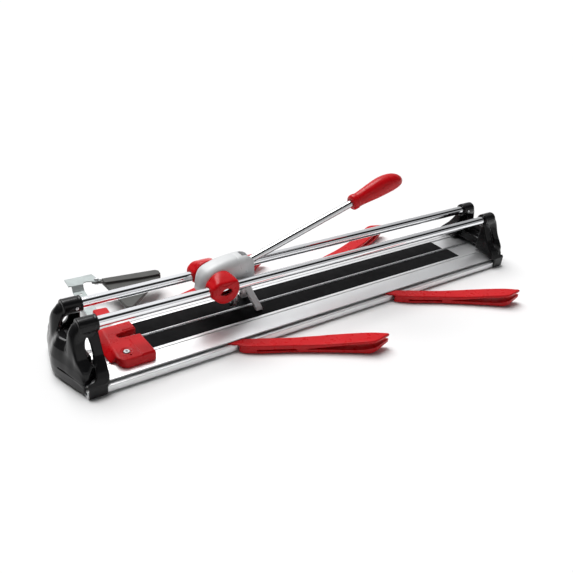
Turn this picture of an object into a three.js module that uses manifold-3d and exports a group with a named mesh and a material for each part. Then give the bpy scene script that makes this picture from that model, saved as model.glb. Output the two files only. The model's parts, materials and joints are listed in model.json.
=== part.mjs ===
// A manual tile cutter: a grooved aluminium base, two guide rails between two moulded heads, a carriage
// with a rocking lever that carries the scoring wheel and the breaker foot, four swinging side supports,
// a red end fence and a sliding lateral stop with a swivelling set square.
// Millimetres. +X runs along the rails, +Y to the back, +Z up; z = 0 is the floor the cutter stands on,
// and x = 0, y = 0 is the middle of the base.
import * as THREE from "three";
import { mergeVertices } from "three/addons/utils/BufferGeometryUtils.js";
import Module from "manifold-3d";

const wasm = await Module();
wasm.setup();

// ---------------------------------------------------------------- driving dimensions
const GAP = 0.35; // clearance between pieces that touch
const ROUND = 28; // segments round a visible cylinder

const RAIL_SPAN = 965; // length of rail in the open between the heads
const RAIL_R = 9.35;
const RAIL_WALL = 2.5;
const RAIL_Y = 32.7; // each rail's distance from the centre line
const RAIL_Z = 103.6;
const RAIL_TUCK = 26; // length of rail inside each head

const BASE_LENGTH = 1049;
const BASE_HALF = 89.3; // half width over the side lips
const BASE_BOTTOM = 1.8;
const LIP_TOP = 14.5; // top of the side lip, and floor of the side groove
const GROOVE_ROOF = 18.8;
const GROOVE_BACK = 66.5; // how far in from the side the groove reaches, as a distance from the centre line
const LEDGE_EDGE = 82.4;
const LEDGE_INNER = 50.6;
const LEDGE_TOP = 27.4;
const LEDGE_SLOPE = 0.2208; // the ledge falls towards the side
const RIB_TOP = 27.6;
const PAD_INNER = 3.6;
const PAD_OUTER = 42.4;
const PAD_FLOOR = 25.2;
const TABLE_Z = 29; // top of the breaking ridge
const PAD_START = -395.2; // the pads begin at the fence and end short of the far head
const PAD_END = 415.5;

const HEAD_X = RAIL_SPAN / 2; // where the rails come out of the heads
const SOCKET_R = 14.4;
const HEAD_SCREW = { x: HEAD_X + 34, y: 35 };

const FENCE_X = -395.5; // the face that tiles are pushed against
const FENCE_TOP = 41;
const FENCE_FRONT = -71.5;
const FENCE_SCREWS = {
  front: { x: FENCE_X - 43, y: -47.5 }, // from above
  rear: { x: FENCE_X - 13, y: 30 }, // from below, its head inside the base
};

const CARRIAGE_X = -244.5; // centre of the carriage's red caps
const CAP_R = 27.5;
const CAP_Z = 107;
const CAP_INNER = 21;
const CAP_OUTER = 50;
const TUNNEL_R = 13.4; // bore for the slide bushes round each rail
const BODY_HALF = 20.6;
const CAVITY_HALF = 8.2; // slot in the carriage body where the lever's hub rocks
const CAP_BOLT_Z = 124;

const PIVOT = { x: CARRIAGE_X + 54, z: 119 }; // the lever's pivot, an axis along Y
const LEVER_ANGLE = THREE.MathUtils.degToRad(17.3);
const LEVER_R = 7.3;
const SPIGOT_R = 5;
const ROD_RISE = 2; // the tube runs a little above the pivot
const GRIP_START = 277;
const WHEEL = { x: PIVOT.x - 4, z: 43, r: 11 };
const FOOT = { x0: PIVOT.x + 29.5, x1: PIVOT.x + 44, z: RIB_TOP + 2.3, lean: 0.36 };
const FOOT_PIN_Z = 67;

const ARM_PIVOT_Y = 76.5;
const ARM_TOP = 18.2; // at the root; the free end rises to the height of the table
const ARMS = [
  { name: "front_left", x: -250.5, side: -1, angle: 25.5 },
  { name: "front_right", x: 144.5, side: -1, angle: 28 },
  { name: "rear_left", x: -299.5, side: 1, angle: 15.5 },
  { name: "rear_right", x: 69.5, side: 1, angle: 15.5 },
];

const STOP = { x: -435.5, y: 86, tilt: THREE.MathUtils.degToRad(-4.5) };
const SQUARE_PIVOT = { x: 38, y: 112 }; // in the lateral stop's own frame
const GUIDE_SCREW = { x: 16, y: -6.8 }; // in the same frame

// ---------------------------------------------------------------- materials
function finish(color, roughness, metalness) {
  return new THREE.MeshStandardMaterial({ color, roughness, metalness });
}

const ALUMINIUM = finish(0xc9cccd, 0.38, 0.9);
const CHROME = finish(0xdfe2e6, 0.08, 1);
const STEEL = finish(0xb4b7b8, 0.32, 0.95);
const ZINC = finish(0xaab3b5, 0.4, 0.85);
const CASTING = finish(0xc6c9ca, 0.45, 0.6);
const BLACK = finish(0x151515, 0.22, 0);
const RED = finish(0xc8252b, 0.35, 0);
const PAD = finish(0x1b1b1b, 0.9, 0);
const CHARCOAL = finish(0x4a4a46, 0.6, 0);
const BUSH = finish(0xe6e4dc, 0.5, 0);
const CARBIDE = finish(0x6f7274, 0.25, 0.9);

// ---------------------------------------------------------------- small tools
const group = new THREE.Group();

function place(name, geometry, material, parent = group) {
  const mesh = new THREE.Mesh(geometry, material);
  mesh.name = name;
  parent.add(mesh);
  return mesh;
}

function toSolid(geometry) {
  const bare = geometry.clone();
  bare.deleteAttribute("normal");
  bare.deleteAttribute("uv");
  const merged = mergeVertices(bare, 1e-4);
  return new wasm.Manifold(new wasm.Mesh({
    numProp: 3,
    vertProperties: merged.attributes.position.array,
    triVerts: Uint32Array.from(merged.index.array),
  }));
}

function toGeometry(solid) {
  const mesh = solid.getMesh();
  const geometry = new THREE.BufferGeometry();
  geometry.setAttribute("position", new THREE.BufferAttribute(mesh.vertProperties, 3));
  geometry.setIndex(new THREE.BufferAttribute(mesh.triVerts, 1));
  geometry.computeVertexNormals();
  return geometry;
}

const unite = (geometries) => wasm.Manifold.union(geometries.map(toSolid));
const join = (...geometries) => toGeometry(unite(geometries));
const cut = (geometry, ...tools) => toGeometry(toSolid(geometry).subtract(unite(tools)));
const overlap = (a, b) => toGeometry(toSolid(a).intersect(toSolid(b)));

const outline = (points) => new THREE.Shape(points.map(([a, b]) => new THREE.Vector2(a, b)));
const mirrored = (points) => [...points, ...points.map(([y, z]) => [-y, z]).reverse()];
const mirroredPlan = (points) => [...points, ...points.map(([x, y]) => [x, -y]).reverse()];

function extrude(shape, depth, curveSegments) {
  return new THREE.ExtrudeGeometry(shape, { depth, bevelEnabled: false, curveSegments });
}

// a (y, z) outline pulled along X, an (x, z) outline along Y and an (x, y) outline along Z
function alongX(shape, x0, x1, segments = 8) {
  const turn = new THREE.Matrix4().set(0, 0, 1, x0, 1, 0, 0, 0, 0, 1, 0, 0, 0, 0, 0, 1);
  return extrude(shape, x1 - x0, segments).applyMatrix4(turn);
}

function alongY(shape, y0, y1, segments = 8) {
  const turn = new THREE.Matrix4().set(1, 0, 0, 0, 0, 0, -1, y1, 0, 1, 0, 0, 0, 0, 0, 1);
  return extrude(shape, y1 - y0, segments).applyMatrix4(turn);
}

function alongZ(shape, z0, z1, segments = 8) {
  return extrude(shape, z1 - z0, segments).translate(0, 0, z0);
}

function box(x0, x1, y0, y1, z0, z1) {
  return new THREE.BoxGeometry(x1 - x0, y1 - y0, z1 - z0)
    .translate((x0 + x1) / 2, (y0 + y1) / 2, (z0 + z1) / 2);
}

function rodX(r, x0, x1, y, z, segments = ROUND) {
  return new THREE.CylinderGeometry(r, r, x1 - x0, segments)
    .rotateZ(Math.PI / 2).translate((x0 + x1) / 2, y, z);
}

function rodY(r, y0, y1, x, z, segments = ROUND) {
  return new THREE.CylinderGeometry(r, r, y1 - y0, segments).translate(x, (y0 + y1) / 2, z);
}

function rodZ(r, z0, z1, x, y, segments = ROUND) {
  return new THREE.CylinderGeometry(r, r, z1 - z0, segments)
    .rotateX(Math.PI / 2).translate(x, y, (z0 + z1) / 2);
}

// a round piece turned about Z from (radius, height) points
function turned(points, segments = 24) {
  const section = points.map(([r, h]) => new THREE.Vector2(r, h));
  return new THREE.LatheGeometry(section, segments).rotateX(Math.PI / 2);
}

// a pan-head screw, its head upward at z = 0, with a hexagon socket
function screw(headR, headHeight, shankR, length) {
  const solid = turned([[0, -length], [shankR, -length], [shankR, 0], [headR, 0],
    [headR, headHeight * 0.6], [headR * 0.8, headHeight], [0, headHeight]], 18);
  return cut(solid, rodZ(headR * 0.45, headHeight * 0.4, headHeight + 1, 0, 0, 6));
}

const ledgeZ = (y) => LEDGE_TOP - (Math.abs(y) - LEDGE_INNER) * LEDGE_SLOPE;

// ---------------------------------------------------------------- base
function baseProfile() {
  const half = [
    [BASE_HALF - 1, BASE_BOTTOM], [BASE_HALF, BASE_BOTTOM + 1], [BASE_HALF, LIP_TOP - 1],
    [BASE_HALF - 1, LIP_TOP], [GROOVE_BACK + 1.5, LIP_TOP], [GROOVE_BACK, LIP_TOP + 2],
    [GROOVE_BACK + 1.5, GROOVE_ROOF], [LEDGE_EDGE - 0.8, GROOVE_ROOF], [LEDGE_EDGE, GROOVE_ROOF + 0.8],
    [LEDGE_EDGE - 1, ledgeZ(LEDGE_EDGE - 1)], [LEDGE_INNER, LEDGE_TOP],
    [LEDGE_INNER, LEDGE_TOP - 3.2], [LEDGE_INNER - 1.8, LEDGE_TOP - 3.2],
    [LEDGE_INNER - 1.8, RIB_TOP], [PAD_OUTER, RIB_TOP], [PAD_OUTER, PAD_FLOOR], [PAD_INNER, PAD_FLOOR],
    [PAD_INNER, PAD_FLOOR + 1.6], [2.5, PAD_FLOOR + 1.6], [2.5, PAD_FLOOR - 2.8],
  ];
  return outline(mirrored(half));
}

// the hollow chambers inside the extrusion, which run right through it
function baseChambers() {
  const sections = [[-21, 21, 20], [23.5, 46, 21.5], [-46, -23.5, 21.5], [48.5, 63.5, 20.5],
    [-63.5, -48.5, 20.5], [69, 86.3, 11.3], [-86.3, -69, 11.3]];
  return sections.map(([y0, y1, top]) => box(-BASE_LENGTH, BASE_LENGTH, y0, y1, 5, top));
}

function buildBase() {
  const bar = alongX(baseProfile(), -BASE_LENGTH / 2, BASE_LENGTH / 2);
  const guideHole = new THREE.Vector2(GUIDE_SCREW.x, GUIDE_SCREW.y);
  guideHole.rotateAround(new THREE.Vector2(), STOP.tilt);
  const holes = [
    ...baseChambers(),
    rodZ(2.9, 18, 30, FENCE_SCREWS.front.x, FENCE_SCREWS.front.y, 16),
    rodZ(2.9, 18, 30, FENCE_SCREWS.rear.x, FENCE_SCREWS.rear.y, 16),
    rodZ(2.9, 15, 30, STOP.x + guideHole.x, STOP.y + guideHole.y, 16),
  ];
  for (const end of [-1, 1]) {
    for (const side of [-1, 1]) {
      holes.push(rodZ(2.4, 18, 30, end * HEAD_SCREW.x, side * HEAD_SCREW.y, 16));
    }
  }
  for (const arm of ARMS) {
    holes.push(rodZ(2.9, 10, 16, arm.x, arm.side * ARM_PIVOT_Y, 16));
  }
  place("base_extrusion", cut(bar, ...holes), ALUMINIUM);

  const crest = [[2.2, PAD_FLOOR - 2.4], [2.2, TABLE_Z - 1.2], [1.2, TABLE_Z - 0.15], [0.5, TABLE_Z]];
  const ridge = alongX(outline(mirrored(crest)), FENCE_X - 34, BASE_LENGTH / 2 - 20);
  place("breaking_ridge", ridge, STEEL);

  for (const [name, side] of [["front", -1], ["rear", 1]]) {
    const y = [side * (PAD_INNER + GAP), side * (PAD_OUTER - GAP)].sort((a, b) => a - b);
    const end = side < 0 ? PAD_END : PAD_END - 9;
    place(`pad_${name}`, box(PAD_START, end, y[0], y[1], PAD_FLOOR + GAP, RIB_TOP + 0.1), PAD);
  }
  for (const [name, y] of [["front", -74], ["centre", 0], ["rear", 74]]) {
    const length = BASE_LENGTH / 2 - 20;
    place(`grip_strip_${name}`, box(-length, length, y - 8, y + 8, 0, BASE_BOTTOM - GAP), PAD);
  }
}

// ---------------------------------------------------------------- heads
// One moulding serves both ends. Its own frame has x = 0 where the rails come out, and +x inward.
function headGeometry() {
  const baseEnd = -(BASE_LENGTH - RAIL_SPAN) / 2;
  const wall = baseEnd - GAP;

  // the swan neck runs from the socket outwards and down, with a rounded back
  const neck = outline([[-20, 118], [-31, 114.5], [-40, 104], [-45.5, 92], [-49, 77], [-51, 60],
    [-52, 29.4], [-41, 29.4], [-39, 62], [-35, 82], [-29, 91], [-20, 94]]);
  const arch = outline([[19.5, 29], [19.5, 104], [21.3, 110.9], [26.3, 116], [33, 118], [39.7, 116],
    [44.7, 110.9], [46.5, 104], [46.5, 29]]);
  // the side wall leans out from the socket to the clip, which wraps the base's ledge and side lip
  const flare = outline([[34, 29.4], [34, 98], [40, 96], [47, 84], [54, 72], [62, 60], [71, 50], [80, 40],
    [87, 31], [91.4, 24], [91.4, 1], [89.7, 1], [89.7, 19.2], [83, ledgeZ(83) + GAP + 0.1],
    [LEDGE_INNER, LEDGE_TOP + GAP]]);
  const flarePlan = outline([[-43, 30], [-43, 77], [-34, 79], [-28, 82], [-37, 87], [-38, 93], [-13, 93],
    [-7, 90.5], [-2.5, 84], [-1.5, 70], [-1.5, 30]]);
  const hollow = outline([[20, 34], [20, 90], [36, 89], [42, 79], [49, 67], [57, 55], [66, 44.5], [66, 34]]);
  const windowShape = new THREE.Shape().absellipse(-23, 67.5, 5.2, 18.5, 0, Math.PI * 2, false, 0.06);
  // the bumper bulges out past the end of the base, narrower towards its top
  const tier = (inset, reach, inner, z0, z1) => {
    const plan = outline(mirroredPlan([[0, 85], [-45 + inset, 80], [-53 + inset, 50], [-61.5 + inset, 20],
      [-65.5 + inset, 6]]));
    return overlap(alongZ(plan, z0, z1), box(-80, inner, -reach, reach, z0, z1));
  };

  const pieces = [
    tier(1.5, 82, wall, 1, 20),
    tier(0, 80, wall, 19, 30),
    tier(0.5, 66, wall + 4, 29.4, 46),
    tier(5, 52, wall + 5, 45, 60),
    tier(12, 40, wall + 6, 59, 70),
    box(-47, -16, -46, 46, 29.4, 50),
  ];
  for (const side of [1, -1]) {
    const flip = (geometry) => (side > 0 ? geometry : mirrorAcrossY(geometry));
    const leg = overlap(alongX(flare, -43, -1.5), alongZ(flarePlan, 0, 100));
    pieces.push(rodX(SOCKET_R, -32, 0, side * RAIL_Y, RAIL_Z));
    pieces.push(flip(overlap(alongY(neck, 19.5, 46.5), alongX(arch, -60, -15))));
    pieces.push(flip(cut(leg, alongX(hollow, -34, -6), alongY(windowShape, 34, 90))));
  }
  const bores = [];
  for (const side of [1, -1]) {
    bores.push(rodX(RAIL_R + GAP, -RAIL_TUCK - GAP, 12, side * RAIL_Y, RAIL_Z));
    bores.push(rodY(2.9, ...(side > 0 ? [10, 25] : [-25, -10]), -12, RAIL_Z, 16));
    bores.push(rodZ(2.4, 25, 42, -34, side * HEAD_SCREW.y, 16));
  }
  return cut(join(...pieces), ...bores);
}

function mirrorAcrossY(geometry) {
  const flipped = geometry.clone().scale(1, -1, 1);
  const index = flipped.index.array;
  for (let i = 0; i < index.length; i += 3) {
    [index[i], index[i + 1]] = [index[i + 1], index[i]];
  }
  return flipped;
}

function buildHeads() {
  const moulding = headGeometry();
  for (const [name, end] of [["left", -1], ["right", 1]]) {
    const head = new THREE.Group();
    head.position.x = end * HEAD_X;
    head.rotation.z = end < 0 ? 0 : Math.PI;
    group.add(head);
    place(`head_${name}`, moulding.clone(), BLACK, head);
    for (const [where, side] of [["front", -1], ["rear", 1]]) {
      const y = -end * side;
      const screwUp = screw(3.6, 2, 2, 14).rotateX(Math.PI).translate(-34, y * HEAD_SCREW.y, 21);
      place(`head_screw_${name}_${where}`, screwUp, STEEL, head);
      const grub = cut(rodY(2.5, ...(y > 0 ? [17.5, 22.9] : [-22.9, -17.5]), -12, RAIL_Z, 16),
        rodY(1.3, ...(y > 0 ? [16, 20] : [-20, -16]), -12, RAIL_Z, 6));
      place(`rail_screw_${name}_${where}`, grub, STEEL, head);
    }
  }
}

function buildRails() {
  const half = RAIL_SPAN / 2 + RAIL_TUCK;
  const bore = RAIL_R - RAIL_WALL;
  const ring = [[bore, -half], [RAIL_R, -half], [RAIL_R, half], [bore, half], [bore, -half]];
  for (const [name, side] of [["front", -1], ["rear", 1]]) {
    const rail = place(`rail_${name}`, turned(ring, 32).rotateY(Math.PI / 2), CHROME);
    rail.position.set(0, side * RAIL_Y, RAIL_Z);
  }
}

// ---------------------------------------------------------------- end fence
function buildFence() {
  const left = FENCE_X - 65;
  const corner = 16;
  const plan = new THREE.Shape();
  plan.moveTo(left + 6, 35);
  plan.lineTo(left, FENCE_FRONT + corner);
  plan.quadraticCurveTo(left, FENCE_FRONT, left + corner, FENCE_FRONT);
  plan.lineTo(FENCE_X, FENCE_FRONT);
  plan.lineTo(FENCE_X, -8.8);
  plan.lineTo(FENCE_X - 30, -6);
  plan.quadraticCurveTo(FENCE_X - 40, 0, FENCE_X - 30, 6);
  plan.lineTo(FENCE_X, 8.2);
  plan.lineTo(FENCE_X, 35);

  const side = outline([[35, RIB_TOP + GAP], [35, FENCE_TOP - 2], [33, FENCE_TOP],
    [FENCE_FRONT + 3, FENCE_TOP], [FENCE_FRONT, FENCE_TOP - 3], [FENCE_FRONT, ledgeZ(FENCE_FRONT) + GAP],
    [-LEDGE_INNER, RIB_TOP + GAP]]);
  const body = overlap(alongX(side, left - 12, FENCE_X), alongZ(plan, 15, 60));
  const skirt = overlap(alongY(outline([[left - 10, 28.4], [left + 8, 28.4], [left + 8, FENCE_TOP - 1],
    [left + 3, FENCE_TOP - 1]]), -52, 34), box(left - 12, left + 10, -60, 40, 28.4, 60));
  const raised = [
    box(FENCE_X - 26, FENCE_X, 10, 33, FENCE_TOP - 1, FENCE_TOP + 1.2),
    box(FENCE_X - 26, FENCE_X, -68, -11, FENCE_TOP - 1, FENCE_TOP + 1.2),
  ];
  const { front, rear } = FENCE_SCREWS;
  const cuts = [
    box(STOP.x - 21, STOP.x + 13, 3, 40, RIB_TOP - 1, 32.4),
    rodZ(2.9, 20, 50, front.x, front.y, 16), rodZ(6.4, 38, 50, front.x, front.y, 20),
    rodZ(2.9, 20, 37, rear.x, rear.y, 16), rodZ(1.6, 36, 50, front.x + 2, -60, 12),
  ];
  place("fence_block", cut(join(body, skirt, ...raised), ...cuts), RED);
  place("fence_screw_front", screw(6, 2.6, 2.5, 16).translate(front.x, front.y, 38 + GAP), STEEL);
  const screwUp = screw(4.6, 2.4, 2.5, 15).rotateX(Math.PI).translate(rear.x, rear.y, 21.1);
  place("fence_screw_rear", screwUp, STEEL);
}

// ---------------------------------------------------------------- lateral stop and set square
function buildLateralStop() {
  const stop = new THREE.Group();
  stop.position.set(STOP.x, STOP.y, 0);
  stop.rotation.z = STOP.tilt;
  group.add(stop);

  const bend = outline([[-41, 29.4], [-41, 31.4], [97, 31.4], [104, 42], [107, 42], [107, 40],
    [105.4, 40], [98.4, 29.4]]);
  const strip = alongX(bend, -12.5, 9.5);
  const plan = new THREE.Shape();
  plan.moveTo(-18, 105.5);
  plan.lineTo(-18, 132);
  plan.lineTo(36, 136);
  plan.lineTo(45, 106);
  plan.lineTo(32, 106);
  plan.quadraticCurveTo(15, 118, 9.5, 105.5);
  const bar = cut(join(strip, alongZ(plan, 40, 42)), rodZ(3, 20, 50, 0, 88, 20),
    rodZ(2.4, 30, 50, SQUARE_PIVOT.x, SQUARE_PIVOT.y, 16));
  place("stop_bar", bar, ZINC, stop);

  // the guide hugs the bar and is screwed down on the rear ledge
  const low = ledgeZ(LEDGE_EDGE - 3) + 0.9;
  const section = outline([[-13, ledgeZ(72) + 0.9], [-13, 38.5], [-10, 41], [10, 41], [13, 38.5],
    [13, low], [-3, low]]);
  const guide = cut(alongX(section, -3, 24), box(-6, 10.1, -20, 20, 28.8, 32),
    rodZ(2.9, 10, 36, GUIDE_SCREW.x, GUIDE_SCREW.y, 16));
  place("stop_guide", guide, RED, stop);
  const guideScrew = screw(4.4, 2, 2.4, 16).rotateX(Math.PI)
    .translate(GUIDE_SCREW.x, GUIDE_SCREW.y, GROOVE_ROOF - GAP);
  place("stop_guide_screw", guideScrew, STEEL, stop);

  const triangle = new THREE.Shape();
  triangle.moveTo(48, 113);
  triangle.lineTo(158, 109);
  triangle.quadraticCurveTo(165, 108, 165, 101);
  triangle.lineTo(163, 88);
  triangle.lineTo(77, 8);
  triangle.quadraticCurveTo(68, 1, 62, 8);
  triangle.lineTo(50, 98);
  const backBar = outline([[50, 96], [48, 113], [158, 109], [164, 104], [163, 90], [120, 90]]);
  const lug = outline([[28, 108], [38, 105], [52, 100], [52, 112], [38, 120], [30, 118]]);
  const square = cut(join(alongZ(triangle, 30.2, 37), alongZ(backBar, 36, 42), alongZ(lug, 36, 40 - GAP)),
    rodZ(2.4, 20, 50, SQUARE_PIVOT.x, SQUARE_PIVOT.y, 16));
  place("set_square", square, CHARCOAL, stop);

  const pin = turned([[0, 33], [4.6, 33], [4.6, 36 - GAP], [2.05, 36 - GAP], [2.05, 42 + GAP],
    [4.6, 42 + GAP], [4.6, 43.6], [3.4, 44.8], [0, 44.8]], 18)
    .translate(SQUARE_PIVOT.x, SQUARE_PIVOT.y, 0);
  place("square_pivot", pin, STEEL, stop);
}

// ---------------------------------------------------------------- carriage
function buildCarriage() {
  const c = CARRIAGE_X;
  // the crest runs over the barrel between the caps and on to the nose; the shoulders lie 5 mm below it
  const crest = [[-33.5, 108], [-31.5, 120], [-26, 129], [-18, 134.5], [-8, 138.5], [8, 143.5], [29, 146.5],
    [51, 147.5], [62, 146.5], [70, 143], [77, 136.5], [83, 126], [87, 112], [88.5, 91]];
  const profile = (drop) => outline([[-30, 90], ...crest.map(([x, z]) => [x, Math.max(90, z - drop)])]
    .map(([x, z]) => [c + x, z]));
  const core = alongY(profile(5), -BODY_HALF, BODY_HALF);
  const shoulders = alongY(profile(0), -13, 13);
  // the near end narrows, so that it runs in between the heads' rail sockets, and the nose is rounded
  const plan = outline(mirroredPlan([[c + 92, 7], [c + 81, 14], [c + 73, 19], [c + 60, 30], [c - 18, 30],
    [c - 30, 17.4], [c - 50, 12]]));
  const tunnels = [-1, 1].map((s) => rodX(TUNNEL_R, c - 70, c + 110, s * RAIL_Y, RAIL_Z));
  const rodSlot = box(PIVOT.x + 0.5, c + 110, -7.8, 7.8, 100, 170);
  const cavity = box(c + 18, c + 110, -CAVITY_HALF, CAVITY_HALF, 80, 139);
  const casting = overlap(join(core, shoulders), alongZ(plan, 80, 170));
  const housing = cut(casting, ...tunnels, rodSlot, cavity,
    rodY(4.35, -21, 21, PIVOT.x, PIVOT.z, 24), rodY(2.6, -30, 30, c, CAP_BOLT_Z, 16));
  place("carriage_body", housing, CASTING);
  place("carriage_bolt", rodY(2.2, -43, 43, c, CAP_BOLT_Z, 16), STEEL);

  for (const [name, side] of [["front", -1], ["rear", 1]]) {
    const span = (a, b) => (side < 0 ? [-b, -a] : [a, b]);
    const dome = [[0, CAP_INNER], [CAP_R, CAP_INNER], [CAP_R, 44.5], [CAP_R - 1, 47.5],
      [CAP_R - 3.5, 49.4], [CAP_R - 8, CAP_OUTER], [0, CAP_OUTER]];
    const disc = new THREE.LatheGeometry(dome.map(([r, h]) => new THREE.Vector2(r, h)), 36);
    const lathe = (side < 0 ? disc.rotateX(Math.PI) : disc).translate(c, 0, CAP_Z);
    const eye = new THREE.Shape().absellipse(c - 3, RAIL_Z + 2.6, 12, 6.6, 0, Math.PI * 2, false, 0.14);
    const flank = box(c - 30, c, ...span(CAP_INNER, 46), RAIL_Z - 8.5, RAIL_Z + 13.5);
    const cap = cut(join(lathe, flank), rodX(TUNNEL_R, c - 60, c + 60, side * RAIL_Y, RAIL_Z),
      alongY(eye, ...span(40, 60)), rodY(2.6, ...span(10, 44), c, CAP_BOLT_Z, 16));
    place(`cap_${name}`, cap, RED);
    const bore = RAIL_R + GAP;
    const outside = TUNNEL_R - GAP;
    for (const [end, x] of [["left", c - 26], ["right", c + 13]]) {
      const ring = [[bore, 0], [outside, 0], [outside, 12], [bore, 12], [bore, 0]];
      const bush = place(`bush_${name}_${end}`, turned(ring, 24).rotateY(Math.PI / 2), BUSH);
      bush.position.set(x, side * RAIL_Y, RAIL_Z);
    }
  }
}

// ---------------------------------------------------------------- lever, scoring wheel and breaker
function buildLever() {
  const { x, z } = PIVOT;
  place("lever_pin", rodY(3.95, -20.5, 20.5, x, z, 24), STEEL);

  const half = CAVITY_HALF - 0.6;
  const boss = rodY(16, -half, half, x, z);
  const footBack = (height) => FOOT.x0 - (height - FOOT.z) * FOOT.lean - GAP;
  const drop = alongY(outline([[x - 12, 118], [x - 12, 92], [x + 3, 92], [x + 6, 84], [x + 8.5, 62],
    [footBack(62), 62], [footBack(80), 80], [x + 17, 112]]), -half, half);
  const spigot = new THREE.CylinderGeometry(SPIGOT_R, SPIGOT_R, 28, ROUND).rotateZ(-Math.PI / 2)
    .translate(22, 0, ROD_RISE).rotateY(-LEVER_ANGLE).translate(x, 0, z);
  const hub = cut(join(boss, drop, spigot), rodY(4.3, -30, 30, x, z, 24),
    box(WHEEL.x - 4.9, WHEEL.x + 4.9, -4, 4, 60, 100), rodX(3.3, x + 4, x + 30, 0, FOOT_PIN_Z, 20),
    rodY(2.6, -30, 30, WHEEL.x, 96, 16));
  place("lever_hub", hub, CASTING);
  const grub = cut(rodY(2.25, -half, half, WHEEL.x, 96, 16),
    rodY(1.2, -half - 1, -half + 2.5, WHEEL.x, 96, 6));
  place("holder_screw", grub, STEEL);

  const lever = new THREE.Group();
  lever.position.set(x, 0, z);
  lever.rotation.y = -LEVER_ANGLE;
  group.add(lever);
  const spigotRoom = rodX(SPIGOT_R + GAP, 10, 37, 0, ROD_RISE);
  const tube = cut(rodX(LEVER_R, 16.3, GRIP_START + 60, 0, ROD_RISE), spigotRoom);
  place("lever_rod", tube, CHROME, lever);
  place("lever_grip", gripGeometry(), RED, lever);

  const holder = cut(box(WHEEL.x - 4.5, WHEEL.x + 4.5, -3.65, 3.65, WHEEL.z - 5, 99.6),
    box(WHEEL.x - 10, WHEEL.x + 10, -1.9, 1.9, WHEEL.z - 10, WHEEL.z + WHEEL.r + 1.5),
    rodY(2.1, -10, 10, WHEEL.x, WHEEL.z, 16), rodY(2.65, -10, 10, WHEEL.x, 96, 16));
  place("wheel_holder", holder, STEEL);
  const rim = [[2.15, -1.5], [WHEEL.r - 2, -1.5], [WHEEL.r, 0], [WHEEL.r - 2, 1.5], [2.15, 1.5],
    [2.15, -1.5]];
  place("scoring_wheel", turned(rim, 36).rotateX(Math.PI / 2), CARBIDE).position.set(WHEEL.x, 0, WHEEL.z);
  place("wheel_axle", rodY(1.8, -4.4, 4.4, WHEEL.x, WHEEL.z, 16), STEEL);
}

// the grip is a bent, bulging round handle: rings along the lever, each with its own centre and radius
function gripGeometry() {
  const rings = [[0, 0, 13.6], [4, 0, 16.6], [12, -0.3, 16.6], [25, 0.4, 15.8], [44, 0.8, 17.6],
    [73, 1.2, 20.4], [96, 0, 20.2], [114, -2.4, 18], [125, -5, 14.8], [133, -7.2, 10], [137, -8.6, 4.2]];
  const sides = 20;
  const positions = [];
  for (const [along, rise, radius] of rings) {
    for (let i = 0; i < sides; i += 1) {
      const turn = (i / sides) * Math.PI * 2;
      const height = ROD_RISE + rise + radius * Math.sin(turn);
      positions.push(GRIP_START + along, radius * 0.88 * Math.cos(turn), height);
    }
  }
  positions.push(GRIP_START, 0, ROD_RISE);
  positions.push(GRIP_START + 137.6, 0, ROD_RISE - 8.7);
  const faces = [];
  for (let ring = 0; ring < rings.length - 1; ring += 1) {
    for (let i = 0; i < sides; i += 1) {
      const a = ring * sides + i;
      const b = ring * sides + ((i + 1) % sides);
      faces.push(a, b, a + sides, b, b + sides, a + sides);
    }
  }
  const last = (rings.length - 1) * sides;
  const start = rings.length * sides;
  for (let i = 0; i < sides; i += 1) {
    const next = (i + 1) % sides;
    faces.push(start, next, i, start + 1, last + i, last + next);
  }
  const geometry = new THREE.BufferGeometry();
  geometry.setAttribute("position", new THREE.Float32BufferAttribute(positions, 3));
  geometry.setIndex(faces);
  return cut(geometry, rodX(LEVER_R + GAP, GRIP_START - 5, GRIP_START + 61, 0, ROD_RISE));
}

// the breaker is a forked foot: two legs that press the tile down on either side of the ridge
function buildBreaker() {
  const half = [[6, 74], [9, 68.5], [30.5, 38], [30.5, FOOT.z], [22.5, FOOT.z], [22.5, FOOT.z + 4],
    [7, 53], [3, 56]];
  const upright = alongX(outline(mirrored(half)), FOOT.x0, FOOT.x1);
  upright.translate(0, 0, -FOOT.z);
  upright.applyMatrix4(new THREE.Matrix4().makeShear(0, 0, 0, 0, -FOOT.lean, 0)).translate(0, 0, FOOT.z);
  const bolt = rodX(3.3, PIVOT.x, FOOT.x1, 0, FOOT_PIN_Z, 20);
  place("breaker_foot", cut(upright, bolt), CASTING);
  place("breaker_bolt", rodX(2.95, PIVOT.x + 9, PIVOT.x + 32.5, 0, FOOT_PIN_Z, 20), STEEL);
}

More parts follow.
